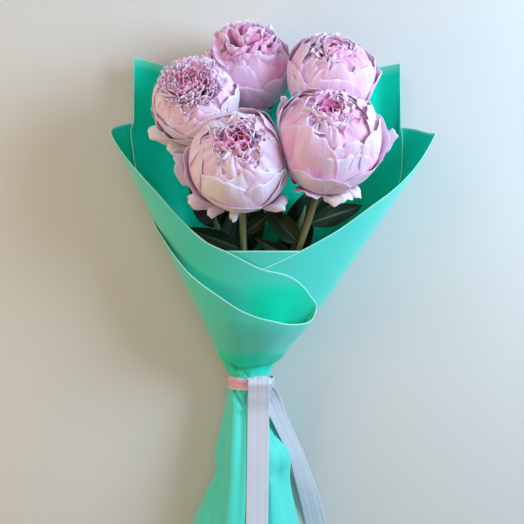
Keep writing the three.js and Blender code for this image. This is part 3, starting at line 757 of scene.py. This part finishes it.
# Rings of cupped petals from the outside in: how many, half width, lowest angle, how far their tops
# pass the opening (all in degrees), share of the radius, curl, ruffle and notch.
petalLayers = [
    (5, 44, 14, -46, 0.985, 0.30, 1.1, 0.03), (6, 46, 14, -27, 0.965, 0.10, 1.0, 0.035),
    (6, 48, 30, -10, 0.935, -0.1, 1.6, 0.08), (6, 46, 45, 2, 0.90, -0.30, 2.0, 0.11),
    (7, 40, 60, 9, 0.86, -0.45, 2.6, 0.14), (8, 32, 80, 14, 0.82, -0.5, 3.0, 0.18),
]
fullTurn = 6.28


# Settings for each ring: the ring's own, spread evenly round and varied a little from petal to petal.
def layerSettings(bloom, rng):
    high = 180 - bloom["opening"]
    settings = []
    for k, (n, spread, low, past, share, curl, ruffle, notch) in enumerate(petalLayers):
        turn = rng.uniform(0, 360) + np.arange(n) * 360 / n + rng.uniform(-9, 9, n)
        settings.append(dict(
            turn=turn, spread=spread * rng.uniform(0.88, 1.12, n), low=low,
            high=high + past + rng.uniform(-11, 8, n),
            radius=bloom["radius"] * share + rng.uniform(-0.6, 0.6, n),
            curl=curl + rng.uniform(-0.2, 0.3, n), ruffle=ruffle * rng.uniform(0.6, 1.3, n),
            notch=notch * rng.uniform(0.4, 1.6, n), round=0.2, tile=1.1,
            open=rng.uniform(-0.8, 1.8, n) * (1 - 0.12 * k), phase=rng.uniform(0, fullTurn, n)))
    return settings


# Tone: deeper towards the claw, in soft patches, and paler at the rim.
def toneOf(u, v, phase, base, deep):
    edge = 0.07 * smooth((v - 0.88) / 0.12)
    patch = 0.09 * sin(2.5 * u + phase) * sin(3 * v + phase) + 0.10 * (1 - v)
    return np.clip(base + deep * bell(v, 0, 0.35, 1.5) + patch - edge, 0, 1)


# Loose petals that stand out of a flower: turn, half width, low, high, curl, how green the base
# is, and how far the petal stands off.
loosePetals = {
    "front_left": [
        (176, 20, 44, 97, 0.7, 0.0, 9.0), (-142, 17, 26, 76, 2.0, 0.1, 6.0),
        (-122, 11, 22, 64, 2.3, 0.1, 5.0), (-98, 9, 18, 56, 2.6, 0.1, 5.0),
        (-46, 16, 32, 82, 2.3, 0.0, 5.0), (126, 18, 40, 98, 0.2, 0.0, 2.0)],
    "front_right": [
        (-74, 21, 24, 64, 1.6, 0.4, 4.5), (-48, 16, 20, 60, 1.9, 0.35, 5.0),
        (4, 10, 52, 98, 0.9, 0.0, 9.0), (38, 9, 30, 84, 1.4, 0.5, 5.0),
        (142, 9, 60, 108, 0.5, 0.0, 4.0), (-110, 22, 22, 66, 0.9, 0.0, 3.0)],
    "left": [
        (-160, 20, 22, 70, 1.7, 0.6, 9.0), (-128, 18, 18, 62, 1.9, 0.5, 6.0),
        (-104, 14, 16, 56, 1.7, 0.4, 4.0)],
    "back_centre": [(-112, 24, 18, 70, 0.8, 0.0, 4.0), (-66, 22, 18, 72, 0.7, 0.0, 4.0)],
    "back_right": [(-126, 14, 34, 100, 0.7, 0.0, 5.0), (-100, 18, 22, 82, 0.5, 0.0, 4.0)],
}
petalShell = dict(base=0.7, thinning=0.42, loose=0.6, inner=0.45, goldenTurn=2.39996)


# One flower from the outside in: two rings of separate guard petals, four rings of cupped petals,
# the loose ones, and the crowd of inner petals set out in a golden spiral.
def makeBloom(name, material):
    bloom = blooms[name]
    centre, axes = bloomFrames[name]
    rng = np.random.default_rng(bloom["seed"])

    def add(piece, mid, thickness, tone, green=0.0, nodes=()):
        points = pressed(name, mid @ axes + centre)
        obj = shellObject(piece, points, thickness, {"tone": tone, "green": green})
        dress(obj, material, nodes)

    guards = [f"guard_petal_{name}_{letter}" for letter in "abcde"]
    for k, p in enumerate(layerSettings(bloom, rng)):
        n = len(p["turn"])
        mid, u, v = cupPetals(p, 33, 29)
        shade = rng.uniform(-0.04, 0.08, n)[:, None, None]
        base = 0.10 + 0.03 * k + bloom["blush"] + shade
        tone = toneOf(u, v, p["phase"][:, None, None], base, 0.30)
        thickness = petalShell["base"] - petalShell["thinning"] * smooth((v - 0.7) / 0.3) + 0 * u
        if k > 1:
            add(f"cupPetals_{name}_{k - 1}", mid, thickness, tone)
            continue
        for i in range(n):
            label = f"guardPetal_{name}_{('outer', 'second')[k]}_{i + 1}"
            add(label, mid[i:i + 1], thickness, tone[i:i + 1], nodes=guards[:1])
            guards = guards[1:]

    turn, spread, low, high, curl, leafy, off = np.array(loosePetals[name], float).T
    p = dict(turn=turn, spread=spread, low=low, high=high, radius=bloom["radius"], curl=curl,
             ruffle=1.7, notch=0.02, round=0.42, tile=0.0, open=off,
             phase=rng.uniform(0, fullTurn, len(turn)))
    mid, u, v = cupPetals(p, 29, 31)
    tone = toneOf(u, v, p["phase"][:, None, None], 0.03, 0.10)
    green = leafy[:, None, None] * (1 - smooth((v - 0.5) / 0.5)) + 0 * u
    add(f"loosePetals_{name}", mid, petalShell["loose"] - 0.2 * v + 0 * u, tone, green)

    n = bloom["crowd"]
    widest = math.radians(bloom["mouth"])
    order = (np.arange(n) + 0.5) / n
    angle = widest * np.sqrt(order)
    turn = np.arange(n) * petalShell["goldenTurn"] + rng.uniform(-0.25, 0.25, n)
    dimple = bloom["hollow"] * bell(angle, 0, 0.5 * widest)
    top = bloom["radius"] * (bloom["tallest"] - dimple) + rng.uniform(-3.0, 2.4, n)
    twist = rng.uniform(-0.75, 0.75, n) * (1 - 0.4 * order) * bloom["twist"]
    width = bloom["tips"] * rng.uniform(0.8, 1.35, n)
    bow = rng.uniform(1.0, 4.5, n)
    lean = np.where(rng.random(n) < 0.2, -4, rng.uniform(3.0, 11.0, n))
    lean = lean * (0.45 + 0.65 * order) * bloom["inward"]
    mid, u, v = crowdPetals(dict(
        angle=angle, turn=turn, twist=twist, base=bloom["radius"] * bloom["root"], top=top,
        width=width, bow=bow, lean=lean, ruffle=rng.uniform(0.9, 2.2, n),
        waves=rng.uniform(3.0, 6.0, n), fringe=bloom["fringe"] * rng.uniform(0.3, 1.4, n),
        phase=rng.uniform(0, fullTurn, n)), 17, 9)
    middle = bloom["centre"] * bell(angle, 0, 0.6 * widest) + rng.uniform(-0.06, 0.14, n)
    flipped = np.where(rng.random(n) < 0.28, -1.6, 1.0)[:, None, None]
    rim = 0.17 * smooth((v - 0.76) / 0.24) * flipped
    tone = np.clip(middle[:, None, None] + 0.08 + 0.42 * (1 - v) ** 1.2 - rim + 0 * u, 0, 1)
    add(f"innerPetals_{name}", mid, petalShell["inner"], tone,
        nodes=[f"petal_ball_{name}"])


# Stems, sepals and leaves

stem = dict(radius=3.6, cut=150.0, pitch=8.2, sides=14, steps=44)
cells = {"front_left": (-0.5, 1.15), "front_right": (1.1, 1.0), "left": (-1.6, 0.0),
         "back_centre": (-0.6, -1.15), "back_right": (1.2, -0.95)}


# A stem's path: a cubic from the flower's base to the tie, leaving along the flower's axis and
# reaching the tie level, then straight to its cut end.
def stemPath(name):
    centre, axes = bloomFrames[name]
    axis = axes[2]
    tieMiddle = wrap["clearance"] + wrap["tieHeight"] / 2
    cell = np.array([cells[name][0] * stem["pitch"], 0, tieMiddle + cells[name][1] * stem["pitch"]])
    start = centre - axis * blooms[name]["radius"] * 0.93
    gate = cell + [0, wrap["straight"], 0]
    bend = start - axis * 30 + np.array([0, -14, 0])
    bend[2] = max(bend[2], 16)
    ahead = gate + np.array([(start[0] - gate[0]) * 0.25, 70, (start[2] - gate[2]) * 0.25])
    t = linspace(0, 1, stem["steps"])[:, None]
    curve = (1 - t) ** 3 * start + 3 * t * (1 - t) ** 2 * bend + 3 * t * t * (1 - t) * ahead + t ** 3 * gate
    drop = linspace(6, stem["cut"] + wrap["straight"], 16)[:, None]
    below = gate - np.array([0, 1, 0]) * drop
    return np.concatenate([curve, below])


# A tube: rings of points round a path, turned square to it, with a slight swell and five faint ribs.
def tubeRings(path, radius, sides):
    along = unit(np.gradient(path, axis=0))
    side = unit(np.cross(along, [0.0, 0.0, 1.0]))
    over = np.cross(side, along)
    angle = linspace(0, 2 * np.pi, sides, endpoint=False)[None, :, None]
    ribbed = radius[:, None, None] * (1 + 0.04 * cos(5 * angle))
    return path[:, None] + ribbed * (cos(angle) * over[:, None] + sin(angle) * side[:, None])


def makeStem(name, material):
    path = stemPath(name)
    t = linspace(0, 1, len(path))
    radius = stem["radius"] * (0.92 + 0.10 * sin(9 * t) ** 2 + 0.25 * bell(t, 0, 0.03))
    rings = tubeRings(path, radius, stem["sides"])
    warm = {"front_right": 0.55, "back_right": 0.35}.get(name, 0.12)
    tone = (warm * (0.6 + 0.4 * sin(14 * t)))[:, None]
    obj = ringObject(f"stem_{name}", rings, {"tone": tone, "rib": 0.0})
    dress(obj, material, [f"stem_{name}"])


# Sepals hug the flower's base: small cupped patches below the guard petals, each of its own height.
def makeSepals(name, material):
    bloom = blooms[name]
    centre, axes = bloomFrames[name]
    rng = np.random.default_rng(bloom["seed"] + 500)
    n = 6
    p = dict(turn=np.arange(n) * 60 + rng.uniform(-12, 12, n), spread=30.0, low=2.0,
             high=rng.uniform(30, 44, n), radius=bloom["radius"] * 1.015 + 1.6,
             curl=rng.uniform(0.3, 1.3, n), ruffle=0.5, notch=0.0, tile=0.8, round=0.5,
             open=rng.uniform(0, 2.5, n), phase=rng.uniform(0, fullTurn, n))
    mid, u, v = cupPetals(p, 13, 11)
    mid = pressed(name, mid @ axes + centre)
    rib = 0.5 * bell(u, 0, 0.08) * (1 - v)
    obj = shellObject(f"sepals_{name}", mid, 0.8, {"tone": 0.25 * v + 0 * u, "rib": rib})
    dress(obj, material, [f"calyx_{name}"])


# Leaves: the stem each grows from, the share of the way down its free stretch, the way its blade
# points, its length and half width, and how much it droops and curls.
leafFields = ("stem", "along", "point", "length", "half", "droop", "curl")
leafRows = {
    "leaf_front_left_low": ("front_left", 0.42, (-0.80, 0.30, 0.10), 66, 12, 14, 0.7),
    "leaf_front_left_curled": ("front_left", 0.36, (0.55, 0.45, 0.10), 40, 8, -6, 1.2),
    "leaf_front_middle": ("front_left", 0.52, (0.62, 0.50, 0.10), 50, 9, 8, 0.9),
    "leaf_front_right_low": ("front_right", 0.50, (-0.60, 0.35, 0.25), 50, 9, 10, 0.9),
    "leaf_front_right_wide": ("front_right", 0.34, (0.85, 0.30, -0.10), 66, 12, 14, 0.5),
    "leaf_left_side": ("left", 0.30, (-0.75, 0.45, 0.15), 44, 11, 12, 0.5),
    "leaf_back_centre": ("back_centre", 0.36, (0.75, 0.50, 0.30), 60, 12, 6, 0.4),
    # The fill blades are extra near-black leaves set deep in the cone: partly the dark leaves there, partly
    # painted shade that darkens the inside of the wrap.
    "fill_left": ("left", 0.48, (-0.35, 0.65, 0.2), 62, 15, 4, 0.5),
    "fill_centre": ("back_centre", 0.52, (0.15, 0.75, 0.25), 72, 16, 2, 0.5),
    "fill_right": ("back_right", 0.5, (0.5, 0.65, 0.1), 72, 16, 6, 0.4),
    "fill_low_left": ("front_left", 0.64, (-0.75, 0.5, 0.25), 46, 11, 6, 0.9),
    "fill_low_right": ("front_right", 0.62, (0.7, 0.5, 0.3), 50, 11, 8, 0.9),
    "fill_middle": ("front_right", 0.44, (-0.55, 0.6, -0.1), 56, 13, 4, 0.6),
    "fill_deep_left": ("left", 0.64, (0.15, 0.8, -0.1), 86, 19, 2, 0.4),
    "fill_deep_centre": ("back_centre", 0.66, (-0.25, 0.8, -0.08), 90, 20, 2, 0.4),
    "fill_deep_right": ("back_right", 0.62, (0.2, 0.85, -0.15), 88, 20, 2, 0.4),
    "fill_deep_middle": ("back_centre", 0.60, (0.1, 0.8, -0.08), 84, 19, 2, 0.4),
    "leaf_back_right": ("back_right", 0.30, (0.85, 0.40, -0.05), 62, 12, 8, 0.5),
}
leaves = {name: dict(zip(leafFields, row)) for name, row in leafRows.items()}


# A blade: half width follows a sine pulled towards the root, the two halves fold up from the
# midrib, the margin waves, and the whole droops with the square of the distance from the root.
def makeLeaf(name, material):
    s = leaves[name]
    path = stemPath(s["stem"])
    root = path[int(s["along"] * (stem["steps"] - 1))]
    ahead = unit(s["point"])
    root = root + ahead * (stem["radius"] * 0.8)
    across = unit(np.cross(ahead, [0, 0, 1]))
    upward = np.cross(across, ahead)
    u = linspace(-1, 1, 21)[:, None]
    v = linspace(0, 1, 40)[None]
    half = s["half"] * (0.05 + 0.95 * sin(np.pi * v ** 0.78) ** 0.85)
    rise = (0.30 + 0.45 * s["curl"] * v) * half * np.abs(u) ** 1.3 - s["droop"] * v * v
    rise = rise + 0.9 * sin(13 * v + 2 * u) * np.abs(u) ** 2
    inwards = half * u * (1 - 0.22 * s["curl"] * u * u * v)
    forward = s["length"] * (v - 0.05 * s["curl"] * v ** 3)
    mid = root + forward[..., None] * ahead + inwards[..., None] * across + rise[..., None] * upward
    rib = bell(u, 0, 0.07) * (1 - 0.7 * v)
    values = {"tone": 0.10 + 0.2 * v ** 2 + 0 * u, "rib": rib}
    obj = shellObject(name.replace("leaf_", "blade_"), mid, 0.6, values)
    dress(obj, material, [name] if name.startswith("leaf_") else [])


# Ribbon

ribbon = dict(width=24.4, thickness=0.6, band=13.0, knot=(10.2, 1.0), frontEnd=212.0)


# The band: a closed ring whose section is a thin loop, ridged lengthwise where the ribbon is
# bunched, standing just clear of the outer sheet.
def makeBand(material):
    turn = linspace(0, 2 * np.pi, 160, endpoint=False)[:, None]
    height = linspace(-1, 1, 19)
    loop = np.concatenate([height, height[::-1]])[None]
    outer = np.concatenate([np.ones(19), np.zeros(19)])[None]
    ridge = 0.38 * sin(4.2 * loop + 0.5 * sin(3 * turn))
    ridge = ridge + 0.2 * sin(9 * loop + 2 * sin(2 * turn))
    stand = 1.15 + outer * ribbon["thickness"] + ridge * (1 - 0.3 * loop ** 2)
    widest = wrap["widest"] * wrap["tieHeight"]
    reach = np.where(sin(turn) > 0, wrap["tieHeight"] - widest, widest)
    slack = 0.10 * cos(turn * 2 + 1)
    x = (wrap["tieHalf"] + stand) * cos(turn) + 2.5 * maximum(-cos(turn), 0) ** 3
    z = wrap["clearance"] + widest + (reach + minimum(stand, 2.5)) * sin(turn)
    y = ribbon["band"] / 2 * loop * (1 + slack) - 1.2 * cos(turn)
    grid = stack([x, y + 0 * x, maximum(z, 0.05)], -1)
    n, m, _ = grid.shape
    cell = np.arange(n * m).reshape(n, m)
    right = np.roll(cell, -1, axis=1)
    ahead = np.roll(cell, -1, axis=0)
    faces = stack([cell, right, np.roll(right, -1, axis=0), ahead], -1).reshape(-1, 4)
    uv = stack([np.abs(loop) * 0.5 + 0 * turn, turn + 0 * loop], -1).reshape(-1, 2)
    edge = smooth((np.abs(loop) - 0.82) / 0.1) + 0 * turn
    obj = meshObject("ribbonBand", grid.reshape(-1, 3), faces, uv, {"edge": edge.ravel()})
    return dress(obj, material, ["ribbon_band"])


# A length of ribbon: a path of middles with a width direction each, ridged lengthwise.
def ribbonStrip(name, middles, across, material, nodes, ridge):
    count = 90

    def through(points):
        points = np.array(points)
        return stack([throughStations(key, points[:, c], at) for c in range(3)], -1)

    key = linspace(0, 1, len(middles))
    at = linspace(0, 1, count)
    path = through(middles)
    wide = unit(through(across))
    up = unit(np.cross(unit(np.gradient(path, axis=0)), wide))
    up = up * np.sign(up[:, 2:3] + 1e-9)
    s = linspace(-1, 1, 33)[:, None]
    t = at[None]
    bunch = ridge * (1 - 0.65 * smooth(t / 0.5))
    wave = bunch * (0.5 * sin(7.5 * s + 0.6 * sin(6 * t)) + 0.35 * sin(15 * s + 1.1 + t))
    wave = wave + 0.25 * ridge * sin(5 * t * np.pi + 1.2 * s)
    narrow = ribbon["width"] / 2 * (1 + 0.09 * (1 - smooth(t / 0.07)))
    wave = wave + 1.1 * (1 - smooth(t / 0.09)) * sin(9 * s + 14 * t + 2 * sin(3 * s))
    mid = path[None] + (s * narrow)[..., None] * wide[None]
    mid = mid + maximum(wave, -0.3)[..., None] * up[None]
    mid[..., 2] = maximum(mid[..., 2], ribbon["thickness"] / 2 + 0.05)
    edge = smooth((np.abs(s) - 0.93) / 0.05) + 0 * t
    obj = shellObject(name, mid, ribbon["thickness"], {"edge": edge})
    dress(obj, material, nodes)


# The front tail comes up over the band, folds over its top edge and runs down the middle.
def makeFrontTail(material):
    x = ribbon["knot"][0]
    middles = []
    for level in (8.5, 6.5, 1, -7, -16, -30, -50, -80, -110, -140, -170, -200, -ribbon["frontEnd"]):
        top = max(wrapPoints(level, math.radians(a), 3.0, 0)[1] for a in (58, 67, 76, 85, 94, 103))
        over = 7.0 * math.exp(-((level - 1) / 19) ** 2) - 3.0 * float(smooth((level - 5) / 4))
        middles.append((x + 0.012 * level, level, float(top) + 1.2 + over))
    across = [(1, 0, 0)] * len(middles)
    ribbonStrip("ribbonTailFront", middles, across, material, ["ribbon_tail_front"], 0.34)


# The side tail: level, how far out from the wrap's half width, height as a share of the tie's, and
# the tilt of its width in degrees.
def makeSideTail(material):
    rows = [(3, -16, 1.04, 0), (-3, -10, 1.05, 4), (-10, -5.5, 1.02, 12), (-20, -2.0, 0.96, 26),
            (-36, 1.5, 0.86, 38), (-60, 7.0, 0.66, 42), (-84, 12.5, 0.45, 42), (-112, 15.0, 0.22, 30),
            (-140, 17, 0.07, 10), (-168, 17.5, 0.015, 2), (-198, 19, 0.01, 0), (-228, 20, 0.012, 0)]
    middles, across = [], []
    for level, out, height, slope in rows:
        half = wrap["tieHalf"] + wrap["skirtSpread"] * float(pastTie(-level))
        middles.append((half + out, level, height * wrap["tieHeight"] + 0.6))
        across.append((math.cos(math.radians(slope)), 0, -math.sin(math.radians(slope))))
    ribbonStrip("ribbonTailSide", middles, across, material, ["ribbon_tail_side"], 0.45)


# The knot: a flat bundle bunched under the front tail. Its rim is crumpled into small scallops that
# show above the band and at its right side.
def makeKnot(material):
    x, y = ribbon["knot"]
    high = wrap["clearance"] + wrap["tieHeight"] + 3.4
    t = linspace(0.02, 0.98, 44)[:, None]
    a = linspace(0, 2 * np.pi, 96, endpoint=False)[None]
    swell = sin(np.pi * t) ** 0.45
    crumple = 1 + 0.08 * sin(9 * a + 3 * sin(4 * t)) + 0.06 * sin(17 * a + 8 * t)
    px = x + 3.0 + 12.0 * swell * cos(a) * crumple * (1 + 0.05 * sin(17 * t))
    pz = high + 3.0 * swell * sin(a) * crumple + 0.5 * sin(11 * t + 5 * cos(a))
    py = y + 9.2 * (1 - 2 * t) + 1.3 * sin(7 * a + 1) * swell
    rings = stack([px, py + 0 * px, pz], -1)
    obj = ringObject("ribbonKnot", rings, {"edge": 0.0})
    dress(obj, material, ["ribbon_knot"])


# Floor

floor = dict(size=3.0, colour=(0.62, 0.60, 0.575, 1))


def makeFloor():
    mesh = bpy.data.meshes.new("floor")
    size = floor["size"]
    corners = [(-size, -size, 0), (size, -size, 0), (size, size, 0), (-size, size, 0)]
    mesh.from_pydata(corners, [], [(0, 1, 2, 3)])
    obj = linked("floor", mesh)
    obj.location = (tieX, tieY, 0)
    mesh.materials.append(startMaterial("floor", Roughness=0.85, Base_Color=floor["colour"])[0])


makeCamera()
makeLights()
makeFloor()
print("camera, lights and floor placed")

petal = makePetalMaterial()
film = makeFilmMaterial()
satin, satinPaintedSkyBlue, satinRose = (makeRibbonMaterial(name) for name in ribbonFinish["satins"])
leafGreen, sepalGreen, stemGreen = (makeGreenMaterial(name) for name in greenFinish)

outer = makeOuterSheet(film)
inner = makeInnerSheet(film)
print("wrap made")
for name in blooms:
    makeBloom(name, petal)
    makeSepals(name, sepalGreen)
    makeStem(name, stemGreen)
print("flowers and stems made")
for name in leaves:
    makeLeaf(name, leafGreen)
print("leaves made")
band = makeBand(satinRose)
makeKnot(satin)
makeFrontTail(satin)
makeSideTail(satinPaintedSkyBlue)
print("ribbon made")
